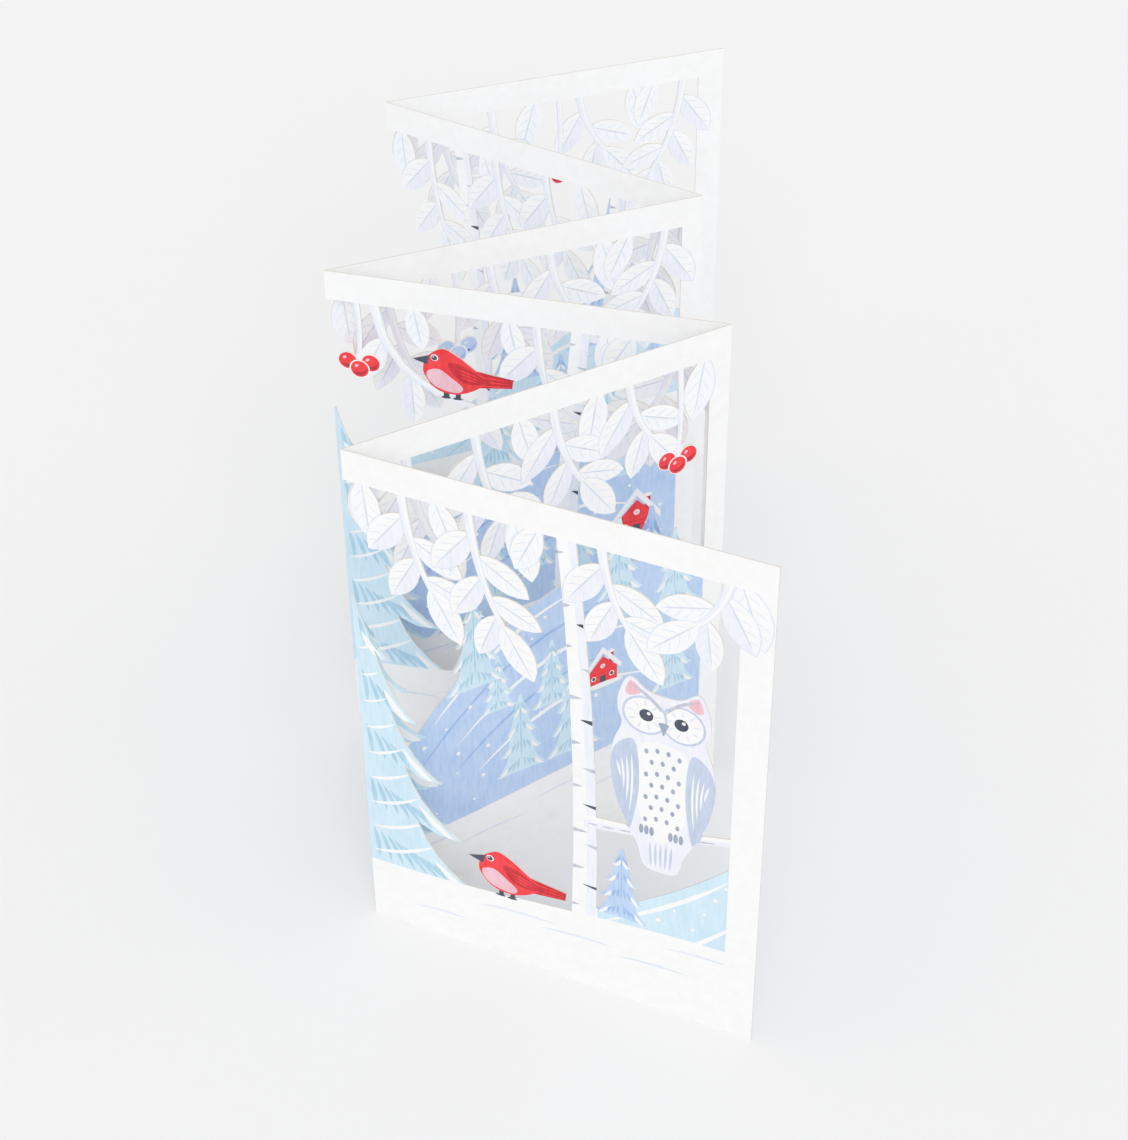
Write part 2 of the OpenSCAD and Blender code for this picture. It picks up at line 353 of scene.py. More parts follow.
def printBerries(plate, share, down, kind):
    skin, shade, shine = berry[kind]
    r = berry["print"] / 2
    shineU, shineV = berry["shineR"]
    root = barRoot(share)
    knot = root - complex(0, down * leaf["length"] + embed)
    sway = (root + knot + twig["width"]) / 2
    printTwig(plate, root, sway, knot, berry["stalkW"], berry["stalkW"] * berry["stalkThin"])
    for turn in berry["turns"]:
        middle = knot + cmath.rect(berry["across"] * berry["apart"], math.radians(turn))
        crescent = [middle + r * cmath.rect(*p) for p in berry["crescent"]]
        lay(plate, bare, disc(middle, berry["across"] / 2 + berry["halo"]))
        lay(plate, skin, disc(middle, r))
        lay(plate, shade, brush(*crescent, r * berry["crescentW"]))
        lay(plate, shine, disc(middle + r * berry["shine"], r * shineU, r * shineV, berry["shineTurn"], 10))
        lay(plate, "slate", disc(middle + r * berry["bud"], r * berry["budR"], points=8))


# Firs
fir = {
    "height": 50,
    "reach": 14,
    "tiers": 4,
    "bleed": 1.015,  # the print's size, where the cut fir's is 1
    "needleGap": 3,
    "leastGap": 2.2,
    "stem": (0.12, 0.94),  # shares of the height
    "stemW": 0.8,
}
foldFir = {
    "height": 106,
    "reach": 38,
    "tiers": 5,
    "needleGap": 4.6,
    "twigs": 9,
    "twigFoot": 0.06,  # the lowest white twig, and the gap to the next, as shares of the height
    "twigGap": 0.095,
    "twigSpan": 0.62,  # share of the fir's reach at that height
    "twigRise": 0.42,
    "twigSag": 0.45 + 0.02j,
    "twigIn": 0.8,
    "twigW": 1.5,
    "twigThin": 0.09,
}
# Boughs: drops are from one tier to the next, gaps are those between needles
bough = {
    "tipW": 0.6,
    "swell": 0.8,  # power of the way down by which a bough's reach grows
    "waist": 0.52,  # share of the reach above at which a bough starts
    "tuck": 0.14,  # drops by which it starts up under the bough above
    "pull": (0.25, 0.3),
    "under": 0.74,  # share of the reach at which its lower edge turns in
    "needleFirst": 0.7,  # the first needle's place, in gaps
    "needleSpare": 0.3,  # the bough is this many gaps longer than its count of needles
    "needleOut": 0.9,
    "needleIn": 0.55,
    "needleFoot": (0.06, 0.12),  # drops over the bough's tip, and more of them near the trunk
    "needleRise": (0.62, 0.3),  # drops near the trunk, and fewer of them near the tip
    "needleW": 0.34,
    "needleBow": 0.08,
    "snow": (0.42, 0.98),  # shares of the bough's edge
    "snowIn": 0.22 + 0.3j,
    "snowEnd": 0.8,
    "snowW": 0.5,
}


def firBoughs(h, w, tiers):  # each bough's outer edge on the right, as a bend from above to its tip
    drop = h / tiers
    boughs = []
    for k in range(1, tiers + 1):
        reaches = [w * (n / tiers) ** bough["swell"] for n in (k - 1, k)]
        tuck = 0 if k == 1 else drop * bough["tuck"]
        above = complex(reaches[0] * bough["waist"], h - (k - 1) * drop + tuck)
        tip = complex(reaches[1], h - k * drop)
        pullU = above.real + (tip - above).real * bough["pull"][0]
        pullV = tip.imag + (above - tip).imag * bough["pull"][1]
        boughs.append((above, complex(pullU, pullV), tip))
    return boughs


def firEdge(h, w, tiers, steps=6):
    edge = []
    for above, pull, tip in firBoughs(h, w, tiers):
        edge += [bend(above, pull, tip, k / steps) + bough["tipW"] for k in range(steps + 1)]
        edge.append(complex(tip.real * bough["under"] + bough["tipW"], tip.imag))
    return edge


def printBoughs(plate, foot, h, w, tiers, sides, needle, gap):
    drop = h / tiers
    for above, pull, tip in firBoughs(h, w, tiers):
        marks = []
        count = max(2, round(tip.real / gap))
        for j in range(count):
            s = (j + bough["needleFirst"]) / (count + bough["needleSpare"])
            footV = bough["needleFoot"][0] + bough["needleFoot"][1] * (1 - s)
            rise = bough["needleRise"][0] - bough["needleRise"][1] * s
            end = complex(tip.real * s * bough["needleOut"], tip.imag + drop * footV)
            start = complex(end.real * bough["needleIn"], end.imag + drop * rise)
            marks.append((needle, straight(start, end, gap * bough["needleW"], bough["needleBow"])))
        inset = bough["snowIn"] * gap
        a, b, c = bendPart(above, pull, tip, *bough["snow"])
        marks.append((bare, brush(a - inset, b - inset, c - inset * bough["snowEnd"], gap * bough["snowW"])))
        for side in sides:
            for ink, outline in marks:
                lay(plate, ink, placed(flipped(outline, side), foot))


def printFir(plate, foot, size, field, needle):
    h, w = fir["height"] * size, fir["reach"] * size
    edge = firEdge(h, w, fir["tiers"])
    lay(plate, field, placed(edge + flipped(edge)[::-1], foot, fir["bleed"]))
    gap = max(fir["leastGap"], fir["needleGap"] * size)
    printBoughs(plate, foot, h, w, fir["tiers"], (1, -1), needle, gap)
    stemFoot, stemTop = (foot + complex(0, h * share) for share in fir["stem"])
    lay(plate, needle, straight(stemFoot, stemTop, fir["stemW"] * size))


def printFoldFir(plate, reach):
    foot = complex(0, sheet["bankLow"] - embed)
    h, w = foldFir["height"], foldFir["reach"] * reach
    outline = firEdge(h, w, foldFir["tiers"])
    outline += [complex(-spill, 0), complex(-spill, h + spill), complex(0, h + spill)]
    lay(plate, "paleBlue", placed(outline, foot))
    printBoughs(plate, foot, h, w, foldFir["tiers"], (1,), "needleBlue", foldFir["needleGap"])
    for k in range(foldFir["twigs"]):  # white twigs in the fir's heart
        v = h * (foldFir["twigFoot"] + foldFir["twigGap"] * k)
        span = w * (1 - v / h) * foldFir["twigSpan"]
        start = foot + complex(foldFir["twigIn"], v)
        end = start + complex(span, span * foldFir["twigRise"])
        lay(plate, bare, brush(start, start + span * foldFir["twigSag"], end,
                               foldFir["twigW"] - foldFir["twigThin"] * k))


# Hills
hill = {
    "steps": 20,
    "bleed": 0.7,
    "drifts": 5,
    "driftFrom": (0.06, 0.36),  # shares of the skyline
    "driftSpan": (0.3, 0.65),
    "driftTo": 0.97,
    "driftTop": 5,
    "driftGap": 9.5,
    "driftSag": 1.1,
    "driftSteps": 10,
    "shadeW": 1.1,
    "snowW": 1.6,
    "flakes": 46,
    "flakeTries": 276,
    "flakeGap": 6.5,
    "flakeDown": (4, 60),
    "flakeR": (0.45, 0.85),
    "flakeOverBank": 3,
}


def printHill(plate, rng, start, crest, end, field, deep):
    pull = crest * 2 - (start + end) / 2
    skyline = [bend(start, pull, end, k / hill["steps"]) for k in range(hill["steps"] + 1)]
    lay(plate, field, [complex(start.real, 0)] + placed(skyline, 1j * hill["bleed"])
        + [complex(end.real, 0)])
    for k in range(hill["drifts"]):  # soft drifts that follow the skyline, of snow and of shade
        s0 = rng.uniform(*hill["driftFrom"])
        s1 = min(s0 + rng.uniform(*hill["driftSpan"]), hill["driftTo"])
        sink = complex(0, hill["driftTop"] + hill["driftGap"] * k)
        drift = bendPart(start - sink, pull - sink * hill["driftSag"], end - sink, s0, s1)
        ink, w = (deep, hill["shadeW"]) if k % 2 else (bare, hill["snowW"])
        lay(plate, ink, brush(*drift, w, hill["driftSteps"]))
    spots = []
    for _ in range(hill["flakeTries"]):
        s = rng.random()
        spot = bend(start, pull, end, s) - complex(0, rng.uniform(*hill["flakeDown"]))
        if spot.imag < bankV(spot.real) + hill["flakeOverBank"] or len(spots) >= hill["flakes"]:
            continue
        if all(abs(spot - other) > hill["flakeGap"] for other in spots):
            spots.append(spot)
            lay(plate, bare, disc(spot, rng.uniform(*hill["flakeR"]), points=9))


# Snow bank
bank = {
    "steps": 24,
    "drifts": 5,
    "driftFrom": 0.06,  # shares of the panel's width
    "driftGap": 0.17,
    "driftStray": 0.08,
    "driftLength": (16, 28),
    "driftDown": (4.5, 15.5),
    "driftRise": 0.07,
    "driftBow": 1.6,
    "driftW": 0.9,
}


def printBank(plate, rng):
    top = [complex(u, bankV(u)) for u in (panelW * (k / bank["steps"]) for k in range(bank["steps"] + 1))]
    past = panelW + spill
    lay(plate, bare, [complex(-spill, -spill), complex(-spill, top[0].imag)] + top
        + [complex(past, top[-1].imag), complex(past, -spill)])
    for k in range(bank["drifts"]):  # faint shadows of drifts in the snow
        u = panelW * (bank["driftFrom"] + bank["driftGap"] * k + rng.uniform(0, bank["driftStray"]))
        length = rng.uniform(*bank["driftLength"])
        a = complex(u, bankV(u) - rng.uniform(*bank["driftDown"]))
        c = a + length * complex(1, bank["driftRise"])
        lay(plate, "frost", brush(a, (a + c) / 2 + 1j * bank["driftBow"], c, bank["driftW"]))


# Birches
birch = {
    "footW": 8,
    "topShare": 0.7,
    "sway": 0.4,  # the trunk bows against its lean by this share of it
    "steps": 12,
    "bleed": 0.8,
    "shade": 0.42,  # share of the width
    "shadeRight": 0.69,
    "marks": 17,
    "markSpare": 0.3,  # the trunk is this many gaps longer than its count of marks
    "markStray": (0.35, 0.85),
    "markReach": (0.3, 0.64),  # shares of the width
    "markLift": 0.3,
    "markHalf": (0.5, 0.85),
    "waist": 0.6,
    "waistHalf": 0.55,
}


def printBirch(plate, rng, share, lean):
    foot = complex(panelW * share, bankV(panelW * share) - embed)
    top = barRoot(share + lean)
    mid = complex(panelW * (share - lean * birch["sway"]), (foot.imag + top.imag) / 2)
    wFoot, wTop = birch["footW"], birch["footW"] * birch["topShare"]
    bleed, shade, steps = birch["bleed"], birch["shade"], birch["steps"]
    lay(plate, bare, strip(foot, mid, top, wFoot + bleed, wTop + bleed, steps=steps))
    lay(plate, "lavender", strip(foot, mid, top, wFoot * shade, wTop * shade, birch["shadeRight"], steps))
    for k in range(birch["marks"]):  # dark bars and scars of the bark
        s = (k + rng.uniform(*birch["markStray"])) / (birch["marks"] + birch["markSpare"])
        up = bendWay(foot, mid, top, s)
        up /= abs(up)
        w = wFoot + (wTop - wFoot) * s
        inward = up * (1j if k % 2 else -1j)
        edge = bend(foot, mid, top, s) - inward * w / 2
        inner = edge + inward * w * rng.uniform(*birch["markReach"]) + up * birch["markLift"]
        half = up * rng.uniform(*birch["markHalf"])
        waist = edge + (inner - edge) * birch["waist"]
        thin = half * birch["waistHalf"]
        ink = "slate" if k % 4 == 1 else "grey"
        lay(plate, ink, [edge - half, waist - thin, inner, waist + thin, edge + half])


# Owl, drawn about its perch
owl = {
    "half": [50j, 5 + 50.6j, 10.4 + 54j, 13.4 + 47.5j, 13.8 + 42j, 12.6 + 36.5j, 15 + 29j, 15.8 + 20j,
             14.2 + 9j, 10.8 + 0j, 7.2 - 8j, 5.2 - 15j, -16.5j],
    "heart": 18j,
    "bleed": 0.03,  # the print runs past the die's edge by this share
    "breast": [33j, 7 + 30j, 8 + 18j, 6.6 + 4j, -5j],
    "speckRows": 7,
    "speckTop": 30,
    "speckDrop": 4.3,
    "speckGap": 3.3,
    "speckArch": 0.05,
    "speckR": (0.62, 0.95),
    "tailFeathers": ((-3.4 - 5j, -2.89 - 15j), (1.7, 1.445), 5, 0.8),
    "wing": [8.6 + 31.5j, 14.2 + 28j, 16 + 19j, 14 + 8j, 10.2 - 2.5j, 8 + 6j, 7 + 18j],
    "wingFeathers": ((9.6 + 27j, 10 + 3.5j), (1.5 - 1.5j, 0.9 + 4.2j), 4, 0.7, -0.06),
    "ear": [6.6 + 50j, 10 + 52.8j, 11.6 + 48.4j, 9.6 + 47.6j],
    "brow": (0.5 + 44j, 3.6 + 49.4j, 10.4 + 51.6j),
    "browW": 1.2,
    "beak": [-1.5 + 40.4j, 1.5 + 40.4j, 0.8 + 38.3j, 36j, -0.8 + 38.3j],
    "face": 5.7 + 41.6j,
    "faceR": 6.1,
    "faceRim": 0.7,
    "rays": 9,
    "rayTurn": 12,
    "ray": (3, 5.5),  # from the middle of the face disc
    "rayW": 0.7,
    "eye": 5.2 + 41.8j,
    "eyeR": 2.1,
    "shine": 0.7 + 0.8j,
    "shineR": 0.6,
    "toes": 3,
    "toe": 2.9 - 1.2j,
    "toeGap": 1.6,
    "toeR": (0.7, 1.8),
    "toeHalo": (0.95, 2.1),
}
limb = {
    "width": 4.6,
    "thin": 0.6,
    "bleed": 0.5,
    "snow": 0.45,  # share of the width
    "snowLeft": 0.62,
    "marks": 6,
    "markGap": 0.15,  # shares of the limb's length
    "markFrom": 0.05,
    "markSpan": 0.13,
    "markDown": 0.8,
    "markW": 0.6,
}


def printOwl(plate, perchPlace):
    put = painter(plate, perchPlace)
    put("lavender", grown(bothSides(owl["half"]), owl["heart"], owl["bleed"]))
    put(bare, bothSides(owl["breast"]))
    for side in (1, -1):
        printOwlHalf(put, side)
    for eye in (owl["eye"], -owl["eye"].conjugate()):  # both eyes shine on the same side
        put(bare, disc(eye + owl["shine"], owl["shineR"], points=10))
    put("greyBlue", loopThrough(owl["beak"], 3))
    for row in range(owl["speckRows"]):  # speckles on the breast, in rows of four and three
        count = 3 if row % 2 else 4
        for k in range(count):
            u = (k - (count - 1) / 2) * owl["speckGap"]
            v = owl["speckTop"] - owl["speckDrop"] * row - owl["speckArch"] * u * u
            put("greyBlue", disc(complex(u, v), *owl["speckR"], points=10))
    put("wingBlue", *fan(*owl["tailFeathers"]))


def printOwlHalf(put, side):
    def mirror(ink, *outlines):
        put(ink, *(flipped(outline, side) for outline in outlines))

    face = owl["face"]
    mirror("wingBlue", loopThrough(owl["wing"]))
    mirror(bare, *fan(*owl["wingFeathers"]))
    mirror("rose", loopThrough(owl["ear"], 3))
    mirror("wingBlue", disc(face, owl["faceR"] + owl["faceRim"]))
    mirror(bare, disc(face, owl["faceR"]))
    for k in range(owl["rays"]):
        spoke = cmath.rect(1, math.radians(360 / owl["rays"] * k + owl["rayTurn"]))
        mirror("frost", straight(face + spoke * owl["ray"][0], face + spoke * owl["ray"][1], owl["rayW"]))
    mirror("slate", disc(owl["eye"], owl["eyeR"]))
    mirror("grey", brush(*owl["brow"], owl["browW"]))
    for k in range(owl["toes"]):
        toe = owl["toe"] + k * owl["toeGap"]
        mirror(bare, disc(toe, *owl["toeHalo"], points=12))
        mirror("greyBlue", disc(toe, *owl["toeR"], points=12))


def printLimb(plate, a, b, c):
    wStart, wEnd = limb["width"], limb["width"] * limb["thin"]
    bleed, snow, down = limb["bleed"], limb["snow"], 1j * limb["markDown"]
    lay(plate, "lavender", strip(a, b, c, wStart + bleed, wEnd + bleed))
    lay(plate, bare, strip(a, b, c, wStart * snow, wEnd * snow, -limb["snowLeft"]))
    for k in range(limb["marks"]):
        s = limb["markFrom"] + limb["markGap"] * k
        mark = bendPart(a - down, b - down, c - down, s, s + limb["markSpan"])
        lay(plate, "grey", brush(*mark, limb["markW"]))


# Small red bird, drawn about its feet
bird = {
    "length": 20,
    "body": [-8.4 + 17.4j, -3.5 + 20.4j, 1.6 + 18.4j, 8.4 + 13.4j, 13 + 9j, 9 + 4.4j, 1.6 + 1.4j,
             -6 + 2.6j, -10.8 + 8.4j, -10.8 + 13.6j],
    "breastPoint": 8,  # the points of the body that its length lies between
    "rumpPoint": 4,
    "heart": 1 + 10j,
    "bleed": 0.02,
    "beak": [-8.5 + 17j, -15.4 + 14.6j, -9.5 + 12.8j],
    "tail": [7 + 13j, 23.8 + 11j, 23.4 + 7j, 8 + 5j],
    "tailFeathers": ((10 + 10.5j, 22.6 + 10j), (-2j, -1.2j), 3, 0.7),
    "belly": [-9.4 + 10.2j, -5 + 11.4j, -0.5 + 8.4j, 4 + 4.4j, 1.4 + 1.9j, -5.8 + 3.2j, -9.6 + 7j],
    "wing": [-1.6 + 14.4j, 4 + 14.2j, 10.6 + 10.6j, 15 + 8.8j, 8 + 6.4j, 2 + 8.2j],
    "wingFeathers": ((1.5 + 12.4j, 11.6 + 9.2j), (0.8 - 1.7j, -1.2 - 0.8j), 3, 0.7, 0.05),
    "legs": (-2.5, 2.1),
    "leg": [-1.1 + 4j, -1.1 - 0.2j, 1.1 - 0.2j, 1.1 + 4j],
    "toes": (-2.4 - 0.9j, 1.9 - 0.7j, 1.2, 0.12),
    # the eye: a white ring, the dark eye, and a small white painted highlight
    "eye": [(bare, -6.6 + 16.2j, 1.5, 12), ("slate", -6.7 + 16.1j, 1.1, 12), (bare, -7 + 16.5j, 0.34, 8)],
}


def printBird(plate, feet):
    body = bird["body"]
    drawnLength = (body[bird["rumpPoint"]] - body[bird["breastPoint"]]).real
    put = painter(plate, feet, bird["length"] / drawnLength)
    for u in bird["legs"]:
        put("slate", placed(bird["leg"], u), placed(straight(*bird["toes"]), u))
    put("deepRed", bird["tail"])
    put("red", *fan(*bird["tailFeathers"]))
    put("red", grown(loopThrough(body), bird["heart"], bird["bleed"]))
    put("rose", loopThrough(bird["belly"]))
    put("deepRed", loopThrough(bird["wing"]))
    put("red", *fan(*bird["wingFeathers"]))
    put("slate", bird["beak"])
    for ink, middle, r, points in bird["eye"]:
        put(ink, disc(middle, r, points=points))


# Cottage far off on a hill, drawn about the middle of its doorstep
cottage = {
    "wide": 14,
    "wall": 7.5,
    "gable": 15,
    "chimney": (3 + 10j, 5.2 + 16j),
    "chimneySnow": (4.1 + 16.2j, 1.7, 0.9),
    "boards": 3,
    "boardGap": 2,
    "boardW": 0.28,
    "door": (-1.4 + 0j, 1.4 + 4.4j),
    "windows": (-4.4 + 4j, 4.4 + 4j),
    "frameR": (1.25, 1.35),
    "paneR": (0.8, 0.9),
    "roundel": 9.6j,
    "roundelR": (1.2, 0.8),
    "eave": 2.2 - 2j,  # past the top of the wall
    "ridge": (1.9, 5),  # the roof's snow over the gable
    "snowDeep": 2.6,
    "shadeDown": 0.5,
    "step": (-0.6j, 3, 1.5),  # its middle, how far past the walls, and its half height
}


def printCottage(plate, foot, size):
    put = painter(plate, foot, size)
    half, wall, gable = cottage["wide"] / 2, cottage["wall"], cottage["gable"]
    put("deepRed", box(*cottage["chimney"]))
    put(bare, disc(*cottage["chimneySnow"], points=12))
    put("red", [-half, half, complex(half, wall), complex(0, gable), complex(-half, wall)])
    firstBoard = 1j * cottage["boardGap"]
    put("deepRed", *fan((firstBoard - half, firstBoard + half), (firstBoard, firstBoard),
                        cottage["boards"], cottage["boardW"]))
    put("slate", box(*cottage["door"]))
    for window in cottage["windows"]:
        put(bare, disc(window, *cottage["frameR"], points=12))
        put("slate", disc(window, *cottage["paneR"], points=10))
    put(bare, disc(cottage["roundel"], cottage["roundelR"][0], points=12))
    put("rose", disc(cottage["roundel"], cottage["roundelR"][1], points=10))
    eave = complex(half, wall) + cottage["eave"]
    under, over = (complex(0, gable + rise) for rise in cottage["ridge"])
    deep = 1j * cottage["snowDeep"]
    roof = [eave, under, -eave.conjugate(), -eave.conjugate() + deep, over, eave + deep]
    put("frost", placed(roof, -1j * cottage["shadeDown"]))
    put(bare, roof)
    stepMiddle, stepPast, stepHalf = cottage["step"]
    put(bare, disc(stepMiddle, half + stepPast, stepHalf))


# The six panels: what is cut in them, as shares of the panel or in leaf lengths
def lowFoot(share):
    return complex(panelW * share, sheet["bankLow"])


perchTwig = (barRoot(0.12), at(0.14, 0.75), at(0.5, 0.755))
panels = [
    {
        "upright": sheet["endW"],
        "foldFir": 1,
        "hill": (lowFoot(0.46), at(0.78, 0.28), at(1.02, 0.46)),
        "firs": [(0.665, 0.19, 0.56)],
        "birches": [(0.57, -0.04)],
        "sprays": [(0.14, 0.4, 1.5, 4), (0.3, 0.5, 1.8, 5), (0.61, 0.4, 1.2, 4), (0.9, -0.45, 0.8, 3)],
        "leaves": [(0.045, -85, 1), (0.22, -70, 0.9), (0.41, -75, 1), (0.47, -115, 0.9), (0.92, -70, 1.1)],
        "limb": (at(0.57, 0.387), at(0.66, 0.387), at(0.933, 0.437)),
        "owl": at(0.76, 0.415),
        "bird": complex(panelW * 0.37, bankV(panelW * 0.37)),
    },
    {
        "upright": sheet["foldW"],
        "foldFir": 0.8,
        "hill": (at(-0.02, 0.22), at(0.52, 0.58), at(1.02, 0.44)),
        "farHill": True,
        "firs": [(0.3, 0.43, 0.7), (0.7, 0.52, 0.58), (0.86, 0.45, 0.6)],
        "printedFirs": [(0.36, 0.36, 0.42), (0.51, 0.33, 0.5), (0.86, 0.26, 0.6), (0.42, 0.2, 0.62),
                        (0.57, 0.2, 0.7)],
        "cottage": (at(0.655, 0.33), 0.75),
        "berries": [(0.86, 1.5, "red")],
        "sprays": [(0.15, 0.4, 1.6, 4), (0.32, 0.5, 1.7, 5), (0.52, 0.5, 1.4, 4), (0.72, 0.4, 1, 3)],
        "leaves": [(0.05, -95, 1), (0.43, -75, 0.9), (0.64, -100, 1), (0.93, -100, 1.1)],
    },
    {
        "upright": sheet["foldW"],
        "foldFir": 1,
        "birches": [(0.6, 0.04)],
        "hill": (lowFoot(0.5), at(0.78, 0.27), at(1.02, 0.37)),
        "firs": [(0.82, 0.27, 1.2)],
        "perch": perchTwig,
        "bird": bend(*perchTwig, perch["birdAt"]) + 1j * twig["width"] * perch["grip"],
        "berries": [(0.075, 1, "red")],
        "sprays": [(0.53, 0.2, 1.3, 3), (0.88, -0.7, 1.6, 5)],
        "leaves": [(0.22, -80, 0.8), (0.46, -80, 0.8), (0.7, -80, 1.1), (0.77, -120, 0.9)],
    },
    {
        "upright": sheet["foldW"],
        "foldFir": 0.8,
        "hill": (at(-0.02, 0.2), at(0.5, 0.5), at(1.02, 0.4)),
        "farHill": True,
        "firs": [(0.42, 0.45, 0.85), (0.74, 0.42, 0.85)],
        "printedFirs": [(0.4, 0.2, 0.62), (0.53, 0.25, 0.5), (0.65, 0.2, 0.66)],
        "cottage": (at(0.83, 0.27), 1),
        "berries": [(0.33, 1.3, "blue")],
        "sprays": [(0.15, 0.4, 1.6, 4), (0.42, 0.5, 1.4, 4), (0.58, 0.4, 1.1, 3), (0.9, -0.6, 1.5, 5)],
        "leaves": [(0.04, -85, 1), (0.27, -100, 0.9), (0.72, -75, 1.1), (0.8, -115, 0.9)],
    },
    {
        "upright": sheet["foldW"],
        "birches": [(0.3, -0.05), (0.72, 0.03)],
        "hill": (lowFoot(0.4), at(0.76, 0.235), at(1.02, 0.29)),
        "firs": [(0.54, 0.16, 0.9), (0.86, 0.235, 0.7)],
        "sprays": [(0.14, 0.3, 1.7, 4), (0.36, 0.5, 1.7, 5), (0.52, 0.4, 1.3, 3), (0.87, -0.4, 1.7, 5)],
        "leaves": [(0.05, -85, 1), (0.32, -70, 0.9), (0.63, -75, 1), (0.94, -95, 0.9)],
    },
    {
        "upright": sheet["endW"],
        "hill": (complex(-embed, sheet["bankLow"]), at(0.62, 0.415), at(1.02, 0.315)),
        "firs": [(0.36, 0.3, 0.9), (0.66, 0.35, 1.25)],
        "printedFirs": [(0.5, 0.2, 0.5), (0.8, 0.2, 0.6)],
        "berries": [(0.5, 1.3, "red")],
        "sprays": [(0.15, 0.4, 1.5, 4), (0.3, 0.5, 1.7, 5), (0.56, 0.5, 1.1, 3), (0.88, -0.6, 1.7, 5)],
        "leaves": [(0.05, -90, 1), (0.43, -105, 1), (0.72, -75, 1), (0.79, -110, 0.9)],
    },
]
seed = 40
nearInks = ("paleBlue", "needleBlue")
farInks = ("periwinkle", "deepBlue")


def printPlate(i):  # what is printed on a panel, from the far hill to the near leaves
    rng = random.Random(seed + i)
    panel = panels[i]
    plate = []
    hillInks, firInks = (farInks, nearInks) if panel.get("farHill") else (nearInks, farInks)
    printHill(plate, rng, *panel["hill"], *hillInks)
    for share, rise, size in panel.get("printedFirs", []) + panel["firs"]:
        printFir(plate, at(share, rise), size, *firInks)
    if "cottage" in panel:
        printCottage(plate, *panel["cottage"])
    if "foldFir" in panel:
        printFoldFir(plate, panel["foldFir"])
    for share, lean in panel.get("birches", []):
        printBirch(plate, rng, share, lean)
    if "limb" in panel:
        printLimb(plate, *panel["limb"])
        printOwl(plate, panel["owl"])
    printBank(plate, rng)
    corner = complex(panelW + spill, panelH + spill)
    lay(plate, bare, box(complex(panelW - panel["upright"], 0), corner))
    for share, turn, size in panel["leaves"]:
        printLeaf(plate, barRoot(share), turn, size, leaf["halfShades"][0])
    for hanging in panel["sprays"]:
        printSpray(plate, *hanging)
    if "perch" in panel:
        printPerch(plate, *panel["perch"])
    for bunch in panel.get("berries", []):
        printBerries(plate, *bunch)
    lay(plate, bare, box(complex(-spill, barV), corner))
    if "bird" in panel:
        printBird(plate, panel["bird"])
    return plate


# Printing: what lies on top at each place of a side, cut to the die's edges.
# The knife needs a window, so a planar triangulation that holds the card's own faces finds the fields.
film = {
    "proud": 0.03,
    "sunk": 0.01,
    "near": sheet["thick"] / 10,  # a face this close to a side's plane belongs to it
    "speck": 0.002,  # smallest face, in square millimetres
    "merge": 0.002,
    "overArea": 1,  # a shape that covers more than its own area by this, and by this share, is turned out
    "overShare": 1.5,
    "flat": 1.5,  # degrees
}
crossedFields = 4  # output type: the fields between crossing outlines, as faces that a mesh can hold
inkMeshes = {}


def cutFaces(i, side):  # a side as the die left it, in the card's own triangles: 1 is the front, -1 the back
    left, along = panelPlace(i)
    mesh = card.data
    places = [(complex(v.co.x, v.co.y) / mm - left) / along for v in mesh.vertices]
    flat = [complex(p.real, v.co.z / mm) for p, v in zip(places, mesh.vertices)]
    onSide = [abs(-p.imag - side * sheet["thick"] / 2) < film["near"] for p in places]
    paper = []
    for face in mesh.polygons:
        outline = [flat[v] for v in face.vertices]
        if all(onSide[v] for v in face.vertices) and abs(loopArea(outline)) > film["speck"]:
            lay(paper, bare, outline)
    return paper


def inkedFields(paper, plate):  # the places of a side's corners, and each field's ink and corners
    layers = paper + plate
    points, rings = [], []
    for _, outline in layers:
        rings.append(list(range(len(points), len(points) + len(outline))))
        points.extend(Vector((p.real, p.imag)) for p in outline)
    spots, _, faces, _, _, owners = delaunay_2d_cdt(points, [], rings, crossedFields, film["merge"])
    spots = [complex(*p) for p in spots]
    covered = [0.0] * len(layers)
    for face, owner in zip(faces, owners):
        area = loopArea([spots[v] for v in face])
        for k in owner:
            covered[k] += area
    most = [film["overArea"] + film["overShare"] * loopArea(outline) for _, outline in layers]
    turned = {k for k in range(len(layers)) if covered[k] > most[k]}
    fields = []
    for face, owner in zip(faces, owners):
        inside = turned.symmetric_difference(owner)  # a shape can come back as its own outside
        if inside and min(inside) < len(paper):
            fields.append((layers[max(inside)][0], face))
    return spots, fields


def printSide(i, side):
    spots, fields = inkedFields(cutFaces(i, side), printPlate(i))
    out = side * (sheet["thick"] / 2 + film["proud"])
    for ink, face in fields:
        if ink is bare:
            continue
        verts, polygons, known = inkMeshes.setdefault(ink, ([], [], {}))
        ring = []
        for v in face:
            corner = (i, side, v)
            if corner not in known:
                known[corner] = len(verts)
                verts.append(standing(i, spots[v], out))
            ring.append(known[corner])
        polygons.append(ring if side > 0 else ring[::-1])
    print("printed side", side, "of panel", i + 1, "-", len(fields), "fields")


for i in range(len(panels)):
    for side in (1, -1):
        printSide(i, side)


# Materials
def linear(hexCode):
    parts = [int(hexCode[k:k + 2], 16) / 255 for k in (1, 3, 5)]
    return [p / 12.92 if p <= 0.04045 else ((p + 0.055) / 1.055) ** 2.4 for p in parts] + [1]


def addNode(tree, kind, settings=None, **links):
    node = tree.nodes.new(kind)
    for name, value in (settings or {}).items():
        if isinstance(name, str) and hasattr(node, name):
            setattr(node, name, value)
        else:
            node.inputs[name].default_value = value
    for name, socket in links.items():
        tree.links.new(socket, node.inputs[name.replace("_", " ")])
    return node


def perMetre(size):  # noise scale for features of this many millimetres
    return 1 / (size * mm)


